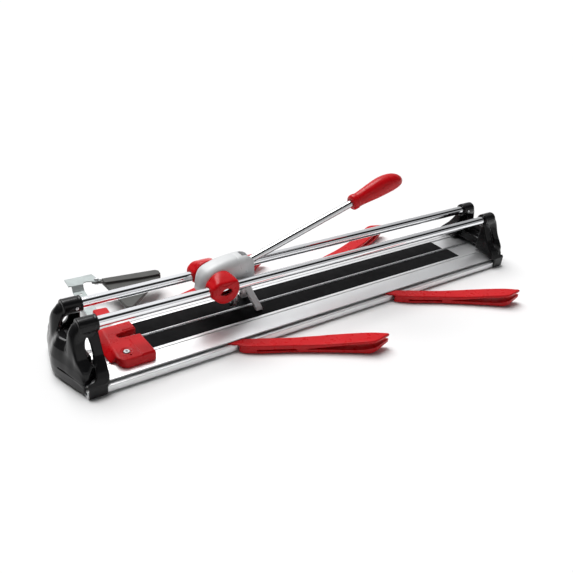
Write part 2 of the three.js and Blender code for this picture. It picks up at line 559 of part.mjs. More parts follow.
// ---------------------------------------------------------------- side supports
// Each support's own frame has its pivot at the origin, +x towards its free end and +y towards the base.
function armGeometry() {
  const plan = outline([[16, -13], [28, -17.2], [57, -19], [109, -18.5], [165, -21], [222, -25],
    [258, -29], [270, -27.6], [277, -24], [303, -6], [300, -3.4], [283, -1], [255, 2.5], [225, 6.5],
    [190, 9.4], [150, 9], [110, 7], [50, 7], [22, 6.3], [14, 3]]);
  const rise = outline([[-12, 1.2], [264, 1.2], [272, 3], [290, 8], [310, 13], [310, 31], [270, 30.5],
    [250, 28.4], [225, 25.2], [195, 21.9], [170, 19.7], [130, ARM_TOP], [-12, ARM_TOP]]);
  const tongue = new THREE.Shape();
  tongue.absarc(0, 0, 8, Math.PI * 0.5, Math.PI * 1.25);
  tongue.lineTo(18, -13);
  tongue.lineTo(30, 0);
  tongue.lineTo(22, 6.3);
  const nub = rodZ(5, 0.4, 3, 257, -22, 16);
  const body = overlap(alongZ(plan, 0, 40), alongY(rise, -60, 60));
  const blade = join(body, alongZ(tongue, LIP_TOP + 0.45, ARM_TOP), nub);
  const lipRoom = alongZ(outline([[-20, -17.95], [160, 20.3], [160, 40], [-20, 40]]), -5, LIP_TOP + 0.45);
  const fork = alongY(outline([[142, 8.7], [170, 9], [200, 8.8], [225, 9.2], [250, 10.8], [264, 13.4],
    [290, 18], [325, 22.4], [325, 25.6], [290, 25], [264, 23.8], [250, 22.4], [225, 19.6], [195, 15.8],
    [170, 12.4], [142, 9.4]]), -60, 60);
  const pocket = alongY(outline([[47, 6.4], [122, 6.4], [122, 9.2], [47, 9.2]]), -40, -12);
  return cut(blade, lipRoom, fork, pocket, rodZ(2.85, 10, 25, 0, 0, 20));
}

function buildArms() {
  const geometry = armGeometry();
  for (const arm of ARMS) {
    const swing = THREE.MathUtils.degToRad(arm.side * arm.angle);
    const holder = new THREE.Group();
    holder.position.set(arm.x, arm.side * ARM_PIVOT_Y, 0);
    holder.rotation.z = swing;
    group.add(holder);
    const shape = arm.side < 0 ? geometry.clone() : mirrorAcrossY(geometry);
    place(`support_arm_${arm.name}`, shape, RED, holder);
    const pin = rodZ(2.5, 11.8, GROOVE_ROOF - GAP, arm.x, arm.side * ARM_PIVOT_Y, 16);
    place(`arm_pin_${arm.name}`, pin, STEEL);
  }
}

buildBase();
buildHeads();
buildRails();
buildFence();
buildLateralStop();
buildCarriage();
buildLever();
buildBreaker();
buildArms();

export default group;
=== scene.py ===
"""The looks of a manual tile cutter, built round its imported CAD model.

Metres, +X along the rails and +Z up. Shapes are written in millimetres and scaled by MM.
"""

import json
import math

import bmesh
import bpy
import numpy as np
from mathutils import Euler, Matrix, Vector
from mathutils.geometry import tessellate_polygon


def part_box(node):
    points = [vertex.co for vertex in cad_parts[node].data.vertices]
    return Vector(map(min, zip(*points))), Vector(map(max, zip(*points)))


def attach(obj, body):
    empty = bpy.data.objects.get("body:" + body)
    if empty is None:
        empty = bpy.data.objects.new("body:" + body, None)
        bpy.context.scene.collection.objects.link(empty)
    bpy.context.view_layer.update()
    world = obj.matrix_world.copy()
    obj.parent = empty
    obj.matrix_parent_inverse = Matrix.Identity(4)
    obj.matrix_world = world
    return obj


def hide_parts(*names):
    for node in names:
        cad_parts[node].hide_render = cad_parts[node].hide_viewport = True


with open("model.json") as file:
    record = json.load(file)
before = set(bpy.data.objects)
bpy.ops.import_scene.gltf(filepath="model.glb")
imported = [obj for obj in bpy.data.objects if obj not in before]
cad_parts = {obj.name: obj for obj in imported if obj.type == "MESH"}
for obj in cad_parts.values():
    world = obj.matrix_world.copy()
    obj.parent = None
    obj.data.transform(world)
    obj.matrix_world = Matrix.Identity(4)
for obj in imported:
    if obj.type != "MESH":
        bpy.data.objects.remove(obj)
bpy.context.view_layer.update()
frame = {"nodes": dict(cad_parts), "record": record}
NODES = frame["nodes"]
MM = 0.001

# ---------------------------------------------------------------- camera, floor and light
scene = bpy.context.scene
scene.view_settings.view_transform = "Standard"


def add_camera():
    data = bpy.data.cameras.new("camera")
    data.lens = 43.15
    data.sensor_width = 36.0
    data.clip_end = 60.0
    camera = bpy.data.objects.new("camera", data)
    scene.collection.objects.link(camera)
    level = Euler((math.radians(90 - 29.59), 0, math.radians(-39.85))).to_matrix()
    tilted = level @ Matrix.Rotation(math.radians(6.8), 3, "Z")
    camera.matrix_world = Matrix.Translation((-0.8413, -0.9249, 0.7298)) @ tilted.to_4x4()
    scene.camera = camera


def add_floor():
    mesh = bpy.data.meshes.new("floor")
    net = bmesh.new()
    bmesh.ops.create_grid(net, x_segments=8, y_segments=8, size=25)
    net.to_mesh(mesh)
    net.free()
    floor = bpy.data.objects.new("floor", mesh)
    scene.collection.objects.link(floor)
    floor.location.z = -0.0002
    floor.data.materials.append(plain_material("floor", (0.9, 0.9, 0.9), 1.0))


def add_sun(name, travel, strength, spread):
    data = bpy.data.lights.new(name, "SUN")
    data.energy = strength
    data.angle = math.radians(spread)
    lamp = bpy.data.objects.new(name, data)
    scene.collection.objects.link(lamp)
    lamp.rotation_euler = Vector(travel).to_track_quat("-Z", "Y").to_euler()


def add_world():
    """A white studio with one long dark gap overhead, which metal picks up as a crisp stripe.

    The light depends on the angle round the rails' direction, and falls off towards both ends. It lights matt
    surfaces less than it shows in glossy ones, and the camera sees plain white behind everything.
    """
    world = bpy.data.worlds.new("studio")
    scene.world = world
    world.use_nodes = True
    tree = world.node_tree
    tree.nodes.clear()
    coords = tree.nodes.new("ShaderNodeTexCoord")
    split = tree.nodes.new("ShaderNodeSeparateXYZ")
    turn = tree.nodes.new("ShaderNodeMath")
    turn.operation = "ARCTAN2"
    ramp = tree.nodes.new("ShaderNodeValToRGB")
    back = tree.nodes.new("ShaderNodeBackground")
    path = tree.nodes.new("ShaderNodeLightPath")
    plain = tree.nodes.new("ShaderNodeBackground")
    choice = tree.nodes.new("ShaderNodeMixShader")
    out = tree.nodes.new("ShaderNodeOutputWorld")
    tree.links.new(coords.outputs["Generated"], split.inputs[0])
    tree.links.new(split.outputs["Z"], turn.inputs[0])
    tree.links.new(split.outputs["Y"], turn.inputs[1])
    tree.links.new(remap(tree, turn.outputs[0], 0, 1, (0, math.pi)), ramp.inputs[0])
    stops = [(0.0, 0.95), (0.05, 1.0), (0.5, 1.0), (0.54, 0.04), (0.78, 0.02), (0.81, 0.9), (0.93, 0.7),
             (1.0, 0.5)]
    while len(ramp.color_ramp.elements) < len(stops):
        ramp.color_ramp.elements.new(0.5)
    for element, (at, grey) in zip(ramp.color_ramp.elements, stops):
        element.position = at
        element.color = (grey, grey, grey * 1.01, 1)
    tree.links.new(ramp.outputs[0], back.inputs[0])
    far_end = remap(tree, split.outputs["X"], 0.95, 0.3, (0.42, 0.85))
    near_end = remap(tree, split.outputs["X"], 0.1, 1.0, (-0.5, -0.22))
    on_matt = remap(tree, path.outputs["Is Diffuse Ray"], 1.0, 0.5, (0, 1))
    tree.links.new(multiply(tree, multiply(tree, far_end, near_end), on_matt), back.inputs[1])
    plain.inputs[0].default_value = (1, 1, 1, 1)
    tree.links.new(path.outputs["Is Camera Ray"], choice.inputs[0])
    tree.links.new(back.outputs[0], choice.inputs[1])
    tree.links.new(plain.outputs[0], choice.inputs[2])
    tree.links.new(choice.outputs[0], out.inputs[0])


# ---------------------------------------------------------------- materials
def new_tree(name):
    made = bpy.data.materials.new(name)
    made.use_nodes = True
    return made, made.node_tree, made.node_tree.nodes["Principled BSDF"]


def plain_material(name, colour, rough):
    made, tree, shader = new_tree(name)
    shader.inputs["Base Color"].default_value = (*colour, 1)
    shader.inputs["Roughness"].default_value = rough
    return made


def noise(tree, scale, detail=3.0, stretch=(1, 1, 1), rough=0.55):
    coords = tree.nodes.new("ShaderNodeTexCoord")
    mapping = tree.nodes.new("ShaderNodeMapping")
    mapping.inputs["Scale"].default_value = stretch
    texture = tree.nodes.new("ShaderNodeTexNoise")
    texture.inputs["Scale"].default_value = scale
    texture.inputs["Detail"].default_value = detail
    texture.inputs["Roughness"].default_value = rough
    tree.links.new(coords.outputs["Object"], mapping.inputs[0])
    tree.links.new(mapping.outputs[0], texture.inputs["Vector"])
    return texture.outputs["Fac"]


def remap(tree, value, low, high, at=(0.3, 0.7)):
    node = tree.nodes.new("ShaderNodeMapRange")
    node.inputs["From Min"].default_value = at[0]
    node.inputs["From Max"].default_value = at[1]
    node.inputs["To Min"].default_value = low
    node.inputs["To Max"].default_value = high
    tree.links.new(value, node.inputs["Value"])
    return node.outputs[0]


def multiply(tree, first, second):
    node = tree.nodes.new("ShaderNodeMath")
    node.operation = "MULTIPLY"
    tree.links.new(first, node.inputs[0])
    tree.links.new(second, node.inputs[1])
    return node.outputs[0]


def blend(tree, value, dark, light, at=(0.3, 0.7)):
    ramp = tree.nodes.new("ShaderNodeValToRGB")
    ramp.color_ramp.elements[0].position = at[0]
    ramp.color_ramp.elements[1].position = at[1]
    ramp.color_ramp.elements[0].color = (*dark, 1)
    ramp.color_ramp.elements[1].color = (*light, 1)
    tree.links.new(value, ramp.inputs[0])
    return ramp.outputs[0]


def bump(tree, shader, value, strength, depth):
    node = tree.nodes.new("ShaderNodeBump")
    node.inputs["Strength"].default_value = strength
    node.inputs["Distance"].default_value = depth
    tree.links.new(value, node.inputs["Height"])
    tree.links.new(node.outputs[0], shader.inputs["Normal"])


def shade(colour, factor):
    return tuple(min(1.0, c * factor) for c in colour)


def surface(name, colour, rough, metal=0.0, *, spread=0.06, tone=0.08, mottle=40, grain=900,
            grain_depth=0.00002, grain_strength=0.25, stretch=(1, 1, 1), specular=0.5, wear=None):
    """Colour and roughness vary in broad patches, a fine grain gives the bump, and edges wear lighter."""
    made, tree, shader = new_tree(name)
    patches = noise(tree, mottle, 4.0)
    fine = noise(tree, grain, 2.0, stretch)
    tint = blend(tree, patches, shade(colour, 1 - tone), shade(colour, 1 + tone))
    if wear:
        geometry = tree.nodes.new("ShaderNodeNewGeometry")
        edge = remap(tree, geometry.outputs["Pointiness"], 0, 1, (0.53, 0.6))
        chipped = remap(tree, noise(tree, 260, 4.0), 0, 0.8, (0.42, 0.62))
        mix = tree.nodes.new("ShaderNodeMix")
        mix.data_type = "RGBA"
        tree.links.new(multiply(tree, edge, chipped), mix.inputs["Factor"])
        tree.links.new(tint, mix.inputs[6])
        mix.inputs[7].default_value = (*wear, 1)
        tint = mix.outputs[2]
    tree.links.new(tint, shader.inputs["Base Color"])
    tree.links.new(remap(tree, noise(tree, mottle * 1.7, 5.0), rough - spread, rough + spread),
                   shader.inputs["Roughness"])
    shader.inputs["Metallic"].default_value = metal
    shader.inputs["Specular IOR Level"].default_value = specular
    bump(tree, shader, fine, grain_strength, grain_depth)
    return made


def make_materials():
    along = (0.012, 1, 1)
    return {
        "aluminium": surface("aluminium", (0.84, 0.845, 0.85), 0.4, 1.0, tone=0.015, spread=0.02, mottle=9,
                             grain=1400, stretch=along, grain_strength=0.12, grain_depth=0.00002),
        "chrome": surface("chrome", (0.88, 0.89, 0.91), 0.045, 1.0, tone=0.02, spread=0.02, mottle=30,
                          grain=700, stretch=(0.05, 1, 1), grain_strength=0.04, grain_depth=0.00001),
        "lever_tube": surface("lever_tube", (0.6, 0.61, 0.615), 0.2, 1.0, tone=0.02, spread=0.02, mottle=30,
                              grain=900, stretch=(0.05, 1, 1), grain_strength=0.05, grain_depth=0.00001),
        "steel": surface("steel", (0.7, 0.71, 0.72), 0.3, 1.0, mottle=120, grain=2200, grain_strength=0.2),
        "zinc": surface("zinc", (0.36, 0.395, 0.39), 0.4, 0.8, tone=0.08, mottle=90, grain=1500,
                        grain_strength=0.2),
        "casting": surface("casting", (0.62, 0.63, 0.635), 0.52, 0.1, tone=0.03, mottle=60, grain=1300,
                           grain_strength=0.3, grain_depth=0.00005),
        "black": surface("black", (0.0075, 0.0075, 0.008), 0.2, tone=0.2, spread=0.02, mottle=30,
                         grain=1500, grain_strength=0.08, specular=0.25, wear=(0.02, 0.02, 0.02)),
        "red": surface("red", (0.56, 0.004, 0.008), 0.3, tone=0.04, mottle=40, grain=1500,
                       grain_strength=0.08, specular=0.22, wear=(0.62, 0.02, 0.025)),
        "pad_rubber": surface("pad_rubber", (0.0085, 0.0085, 0.009), 0.85, tone=0.2, mottle=35, grain=1800,
                              grain_strength=0.4, grain_depth=0.00008, specular=0.08),
        "charcoal": surface("charcoal", (0.036, 0.036, 0.032), 0.5, tone=0.1, mottle=50, grain=1500,
                            grain_strength=0.4, grain_depth=0.00006),
        "bush": surface("bush", (0.78, 0.76, 0.7), 0.5, mottle=120, grain=1500),
        "carbide": surface("carbide", (0.3, 0.31, 0.32), 0.25, 1.0, mottle=200, grain=3000),
    }


# ---------------------------------------------------------------- solids from distance fields, in mm
def flat(u, v, points):
    """Signed distance from (u, v) to a closed outline, negative inside it."""
    u, v = np.broadcast_arrays(u, v)
    nearest = np.full(u.shape, 1e12)
    inside = np.zeros(u.shape, bool)
    for (x0, y0), (x1, y1) in zip(points, points[1:] + points[:1]):
        dx, dy = x1 - x0, y1 - y0
        t = np.clip(((u - x0) * dx + (v - y0) * dy) / (dx * dx + dy * dy), 0, 1)
        nearest = np.minimum(nearest, (u - x0 - t * dx) ** 2 + (v - y0 - t * dy) ** 2)
        if dy:
            inside ^= ((y0 > v) != (y1 > v)) & (u < dx * (v - y0) / dy + x0)
    return np.where(inside, -1.0, 1.0) * np.sqrt(nearest)


def meet(a, b, k):
    """The overlap of two fields, its edge rounded over about k."""
    return np.maximum(a, b) + np.maximum(k - np.abs(a - b), 0) ** 2 / (4 * k)


def fuse(a, b, k):
    """Two fields joined with a fillet of about k."""
    return -meet(-a, -b, k)


def carve(a, b, k=0.8):
    return meet(a, -b, k)


def slab(d, w, low, high, r):
    """A flat field drawn out from low to high along w, with its edges rounded to radius r."""
    across = d + r
    along = np.abs(w - (low + high) / 2) - (high - low) / 2 + r
    return (np.minimum(np.maximum(across, along), 0) + np.hypot(np.maximum(across, 0), np.maximum(along, 0))
            - r)


def block(x, y, z, low, high, r):
    spans = [np.abs(v - (a + b) / 2) - (b - a) / 2 + r for v, a, b in zip((x, y, z), low, high)]
    outside = np.sqrt(sum(np.maximum(s, 0) ** 2 for s in spans))
    return outside + np.minimum(np.maximum(np.maximum(spans[0], spans[1]), spans[2]), 0) - r


def spline(p, t):
    """The point a fraction t of the way from p[1] to p[2] on a smooth curve through four points."""
    return 0.5 * (2 * p[1] + (p[2] - p[0]) * t + (2 * p[0] - 5 * p[1] + 4 * p[2] - p[3]) * t ** 2
                  + (3 * p[1] - p[0] - 3 * p[2] + p[3]) * t ** 3)


def curve(points, steps=6):
    """A smooth closed outline through the points."""
    made = []
    n = len(points)
    for i in range(n):
        p = [np.array(points[(i + j) % n], float) for j in (-1, 0, 1, 2)]
        made += [tuple(spline(p, step / steps)) for step in range(steps)]
    return made


def soften(points, radius, steps=4):
    """The outline with its corners turned into short arcs."""
    made = []
    n = len(points)
    for i in range(n):
        before, here, after = (np.array(points[(i + j) % n], float) for j in (-1, 0, 1))
        back, ahead = before - here, after - here
        reach = min(radius, 0.45 * np.linalg.norm(back), 0.45 * np.linalg.norm(ahead))
        start = here + back / np.linalg.norm(back) * reach
        end = here + ahead / np.linalg.norm(ahead) * reach
        for step in range(steps + 1):
            t = step / steps
            made.append(tuple((1 - t) ** 2 * start + 2 * t * (1 - t) * here + t * t * end))
    return made


def both(points):
    """A half outline given on the positive side, closed with its mirror image."""
    return points + [(-u, v) for u, v in reversed(points)]


def skin(name, field, low, high, step):
    """The surface where the field is zero, as an even mesh drawn onto it."""
    axes = [np.arange(a - 2 * step, b + 3 * step, step) for a, b in zip(low, high)]
    value = field(*np.meshgrid(*axes, indexing="ij", sparse=True)).astype(float)
    shape = value.shape
    start = np.array([axis[0] for axis in axes])
    count = np.zeros(value.size)
    total = np.zeros((value.size, 3))
    quads = []
    for k in range(3):
        unit = np.eye(3, dtype=int)[k]
        side, other = np.eye(3, dtype=int)[(k + 1) % 3], np.eye(3, dtype=int)[(k + 2) % 3]
        here = value[tuple(slice(0, -1) if axis == k else slice(None) for axis in range(3))]
        there = value[tuple(slice(1, None) if axis == k else slice(None) for axis in range(3))]
        cell = np.argwhere((here < 0) != (there < 0))
        a, b = here[tuple(cell.T)], there[tuple(cell.T)]
        point = start + step * (cell + np.outer(a / (a - b), unit))
        moves = (0, side, side + other, other)
        corners = [np.ravel_multi_index((cell - move).T, shape) for move in moves]
        for corner in corners:
            count += np.bincount(corner, minlength=value.size)
            for axis in range(3):
                total[:, axis] += np.bincount(corner, point[:, axis], value.size)
        quad = np.stack(corners, 1)
        quad[a > 0] = quad[a > 0][:, ::-1]
        quads.append(quad)
    used = np.flatnonzero(count)
    index = np.zeros(value.size, int)
    index[used] = np.arange(len(used))
    points = total[used] / count[used][:, None]
    quads = index[np.concatenate(quads)]
    points = settle(points, quads, field, step)
    return make_mesh(name, points * MM, quads)


def settle(points, quads, field, step):
    """Even the mesh out, and put every point back on the surface."""
    ends = np.concatenate([quads[:, [i, (i + 1) % 4]] for i in range(4)])
    ends = np.concatenate([ends, ends[:, ::-1]])
    degree = np.bincount(ends[:, 0], minlength=len(points))[:, None]
    for _ in range(3):
        sums = [np.bincount(ends[:, 0], points[ends[:, 1], axis], len(points)) for axis in range(3)]
        mean = np.stack(sums, 1)
        points = 0.5 * points + 0.5 * mean / degree
        h = 0.25 * step
        middle = field(*points.T)
        slope = np.stack([(field(*(points + h * unit).T) - middle) / h for unit in np.eye(3)], 1)
        size = np.maximum((slope ** 2).sum(1), 0.04)
        move = slope * (middle / size)[:, None]
        length = np.linalg.norm(move, axis=1)[:, None]
        points = points - move * np.minimum(1, 0.6 * step / np.maximum(length, 1e-9))
    return points


# ---------------------------------------------------------------- meshes
def make_mesh(name, points, faces):
    mesh = bpy.data.meshes.new(name)
    if isinstance(faces, np.ndarray):
        faces = faces.tolist()
    mesh.from_pydata([tuple(p) for p in points], [], faces)
    mesh.shade_smooth()
    return mesh


def lathe(name, profile, sides=96, axis="X", sharp=30):
    """A closed profile of (radius, along) points turned about an axis, in millimetres."""
    points, faces = [], []
    n = len(profile)
    for i in range(sides):
        turn = 2 * math.pi * i / sides
        for radius, along in profile:
            u, v = radius * math.cos(turn), radius * math.sin(turn)
            points.append({"X": (along, u, v), "Y": (v, along, u), "Z": (u, v, along)}[axis])
        for j in range(n):
            a, b = i * n + j, i * n + (j + 1) % n
            c, d = ((i + 1) % sides) * n + (j + 1) % n, ((i + 1) % sides) * n + j
            faces.append((a, b, c, d))
    return tidy(make_mesh(name, np.array(points) * MM, faces), sharp)


def tidy(mesh, sharp):
    """Merge points that coincide, close open rings and turn every face outwards."""
    net = bmesh.new()
    net.from_mesh(mesh)
    bmesh.ops.remove_doubles(net, verts=net.verts, dist=1e-7)
    bmesh.ops.dissolve_degenerate(net, edges=net.edges, dist=1e-8)
    bmesh.ops.recalc_face_normals(net, faces=net.faces)
    net.to_mesh(mesh)
    net.free()
    mesh.shade_smooth()
    mesh.set_sharp_from_angle(angle=math.radians(sharp))
    return mesh


def mirrored(mesh):
    """A copy of the mesh turned over front to back."""
    copy = mesh.copy()
    copy.name = f"{mesh.name}_mirrored"
    net = bmesh.new()
    net.from_mesh(copy)
    bmesh.ops.scale(net, vec=(1, -1, 1), verts=net.verts)
    bmesh.ops.reverse_faces(net, faces=net.faces)
    net.to_mesh(copy)
    net.free()
    return copy


def drawn(name, outline, low, high, holes=(), axis="X", sharp=30):
    """An outline with holes, drawn out along X (outline in y, z) or Z (outline in x, y), in millimetres."""
    loops = [outline, *holes]
    flat_points = [Vector((u, v, 0)) for loop in loops for u, v in loop]
    n = len(flat_points)
    points = []
    for at in (low, high):
        points += [(at, p.x, p.y) if axis == "X" else (p.x, p.y, at) for p in flat_points]
    faces = []
    first = 0
    for loop in loops:
        for i in range(len(loop)):
            a, b = first + i, first + (i + 1) % len(loop)
            faces.append((a, b, b + n, a + n))
        first += len(loop)
    caps = tessellate_polygon([[Vector((u, v, 0)) for u, v in loop] for loop in loops])
    faces += [tuple(c) for c in caps] + [tuple(i + n for i in reversed(c)) for c in caps]
    return tidy(make_mesh(name, np.array(points) * MM, faces), sharp)


RECORD = frame["record"]
SLOT_OF = {s["node"]: s["material_slot"] for s in RECORD["subparts"]}
BODY_OF = {node: body for body, nodes in RECORD["behaviour"]["bodies"].items() for node in nodes}


def add_piece(name, mesh, *nodes, place=None):
    """Put a detailed piece where its CAD nodes are; it takes their body and finish."""
    piece = bpy.data.objects.new(name, mesh)
    scene.collection.objects.link(piece)
    if place is not None:
        piece.matrix_world = place
    slot = SLOT_OF[nodes[0]]
    if not mesh.materials:
        mesh.materials.append(MATERIALS[slot])
    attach(piece, BODY_OF[nodes[0]])
    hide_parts(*nodes)
    return piece


def shift(x=0.0, y=0.0, z=0.0, turn=0.0):
    return Matrix.Translation((x * MM, y * MM, z * MM)) @ Matrix.Rotation(turn, 4, "Z")


# ---------------------------------------------------------------- sizes in mm, as in the CAD model
RAIL_R, RAIL_BORE, RAIL_Y, RAIL_Z = 9.35, 6.85, 32.7, 103.6
HEAD_X = 482.5
LEDGE_SLOPE, LEDGE_INNER, LEDGE_TOP = 0.2208, 50.6, 27.4
FENCE_X = -395.5
CARRIAGE_X = -244.5
CAP_Z = 107.0
PIVOT_X, PIVOT_Z = CARRIAGE_X + 54, 119.0
WHEEL_X, WHEEL_Z, WHEEL_R = PIVOT_X - 4, 43.0, 11.0
LEVER_ANGLE = math.radians(17.3)
LEVER_R, SPIGOT_R, ROD_RISE = 7.3, 5.0, 2.0
GRIP_START = 277.0
ARM_PIVOT_Y, ARM_TOP, LIP_TOP = 76.5, 18.2, 14.5
STOP_PLACE = (-435.5, 86.0, math.radians(-4.5))
ARMS = [("front_left", -250.5, -1, 25.5), ("front_right", 144.5, -1, 28.0),
        ("rear_left", -299.5, 1, 15.5), ("rear_right", 69.5, 1, 15.5)]


def ledge(y):
    return LEDGE_TOP - (abs(y) - LEDGE_INNER) * LEDGE_SLOPE


# ---------------------------------------------------------------- base and rails
def add_base():
    half = [(88.3, 1.8), (89.3, 2.8), (89.3, 13.5), (88.3, 14.5), (68, 14.5), (66.5, 16.5), (68, 18.8),
            (81.6, 18.8), (82.4, 19.6), (81.4, ledge(81.4)), (50.6, 27.4), (50.6, 24.2), (48.8, 24.2),
            (48.8, 27.6), (42.4, 27.6), (42.4, 25.2), (3.6, 25.2), (3.6, 26.8), (2.5, 26.8), (2.5, 22.4)]
    chambers = [(-21, 21, 20), (23.5, 46, 21.5), (-46, -23.5, 21.5), (48.5, 63.5, 20.5),
                (-63.5, -48.5, 20.5), (69, 86.3, 11.3), (-86.3, -69, 11.3)]
    holes = [soften([(a, 5), (b, 5), (b, top), (a, top)], 1.2) for a, b, top in chambers]
    bar = drawn("base_bar", soften(both(half), 0.6, 3), -524.5, 524.5, holes)
    add_piece("base_bar", bar, "base_extrusion")
    crest = [(2.2, 22.8), (2.2, 27.8), (1.2, 28.85), (0.5, 29)]
    low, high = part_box("breaking_ridge")
    ridge = drawn("ridge_bar", soften(both(crest), 0.25, 2), low[0] / MM, high[0] / MM)
    add_piece("ridge_bar", ridge, "breaking_ridge")
    for side in ("front", "rear"):
        low, high = (Vector(c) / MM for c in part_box(f"pad_{side}"))
        plan = soften([(low.x, low.y), (high.x, low.y), (high.x, high.y), (low.x, high.y)], 1.6)
        pad = drawn(f"pad_{side}_rubber", plan, low.z, high.z, axis="Z")
        round_edges(add_piece(f"pad_{side}_rubber", pad, f"pad_{side}"), 0.5, 3)


def round_edges(piece, width, segments=2, limit=35):
    bevel = piece.modifiers.new("rounded", "BEVEL")
    bevel.width = width * MM
    bevel.segments = segments
    bevel.limit_method = "ANGLE"
    bevel.angle_limit = math.radians(limit)
    bevel.harden_normals = False


def add_rails():
    for side in ("front", "rear"):
        low, high = (Vector(c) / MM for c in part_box(f"rail_{side}"))
        profile = [(RAIL_BORE, low.x + 0.3), (7.2, low.x), (9.0, low.x), (RAIL_R, low.x + 0.35),
                   (RAIL_R, high.x - 0.35), (9.0, high.x), (7.2, high.x), (RAIL_BORE, high.x - 0.3)]
        tube = lathe(f"rail_{side}_tube", profile, 128)
        add_piece(f"rail_{side}_tube", tube, f"rail_{side}", place=shift(0, (low.y + high.y) / 2, RAIL_Z))


# ---------------------------------------------------------------- heads
def head_field():
    outer = [(-12, 118.2), (-22, 118), (-31, 115.3), (-39, 109.5), (-44.6, 101), (-48.5, 89), (-50.5, 74),
             (-51.8, 54), (-52.6, 26)]
    shell = curve([*outer, (-53, 0), (-20, -10), (20, 0), (20, 60), (10, 114)])
    neck = curve([*outer, (-46, 27), (-43, 40), (-41, 60), (-37, 77), (-31, 87), (-22, 92),
                  (-12, 94)])
    arch = curve([(19.6, 29), (19.8, 60), (20, 104), (21.8, 111), (26.6, 116), (33, 118), (39.6, 116),
                  (44.4, 111), (46.3, 104), (46.5, 60), (46.6, 29), (33, 27)])
    bumper = soften([(-30, -20), (-30, 82), (-42.6, 81), (-45, 79), (-54.5, 50), (-63, 21), (-67, 5),
                     (-67, -20)], 8)
    flare = soften([(33, 29.6), (33, 98), (40, 96), (47, 84), (54, 72), (62, 60), (71, 50), (80, 40),
                    (87, 31), (91.4, 24), (91.4, 1), (89.8, 1), (89.8, 19.4), (83, ledge(83) + 0.5),
                    (50.6, 27.9)], 1.4)
    plan = soften([(-52.5, 28), (-52, 58), (-44, 77), (-34, 79), (-25, 71), (-19, 71), (-28, 86), (-41.5, 87),
                   (-41.5, 95), (-13, 95), (-7, 91), (-2.2, 84), (-1.5, 70), (-1.5, 28)], 3)
    hollow = soften([(18, 34), (18, 90), (36, 89), (42, 79), (49, 67), (57, 55), (66, 44.5), (66, 34)], 4)
    window = curve([(-22.5, 88), (-27, 80), (-29, 69), (-28, 58), (-23.5, 48.5), (-19.4, 56), (-18.2, 68),
                    (-19.2, 80)])

    def field(x, y, z):
        y = np.abs(y)
        pillar = meet(flat(x, z, neck), flat(y, z, arch), 14)
        reach = np.interp(z, [0, 26, 46, 60, 72], [85, 86, 69, 54, 46])
        lean = np.interp(z, [0, 12, 24, 40, 58, 72], [2.2, 0.6, 0, 0.4, 5, 13])
        inner = np.interp(z, [0, 29.3, 31.5, 72], [-42.6, -42.6, -38, -36.5])
        wall = flat(x - lean, y * 84 / reach, bumper)
        wall = meet(wall, x - inner, 2.5)
        wall = meet(wall, np.abs(z - 36.5) - 35.5, 5)
        kick = np.maximum(np.abs(z - 26) - 1.0, np.maximum(18 - y, -1.6 - wall))
        wall = carve(wall, kick, 1.2)
        leg = meet(flat(y, z, flare), flat(x, y, plan), 3)
        leg = meet(leg, flat(x, z, shell), 10)
        room = np.maximum(flat(y, z, hollow), np.abs(x + 20) - 14)
        leg = carve(leg, room, 2.5)
        leg = carve(leg, np.maximum(flat(x, z, window), 30 - y), 2.0)
        floor_block = block(x, y, z, (-47, -60, 29.6), (-16.2, 46, 50), 3)
        socket = slab(np.hypot(y - RAIL_Y, z - RAIL_Z) - 14.4, x, -34, -0.2, 2.0)
        solid = fuse(pillar, leg, 10)
        solid = fuse(solid, floor_block, 2)
        solid = fuse(solid, wall, 6)
        solid = fuse(solid, socket, 2)
        groove = np.hypot(np.hypot(y - RAIL_Y, z - RAIL_Z) - 14.4, x + 5.2) - 0.7
        solid = carve(solid, groove, 0.8)
        bore = np.maximum(np.hypot(y - RAIL_Y, z - RAIL_Z) - 9.65, -26.5 - x)
        return carve(solid, bore, 1.0)
    return field


def add_heads():
    mesh = skin("head_moulding", head_field(), (-68, -93, 0), (10, 93, 119), 1.2)
    add_piece("head_moulding_left", mesh, "head_left", place=shift(-HEAD_X))
    add_piece("head_moulding_right", mesh, "head_right", place=shift(HEAD_X, turn=math.pi))


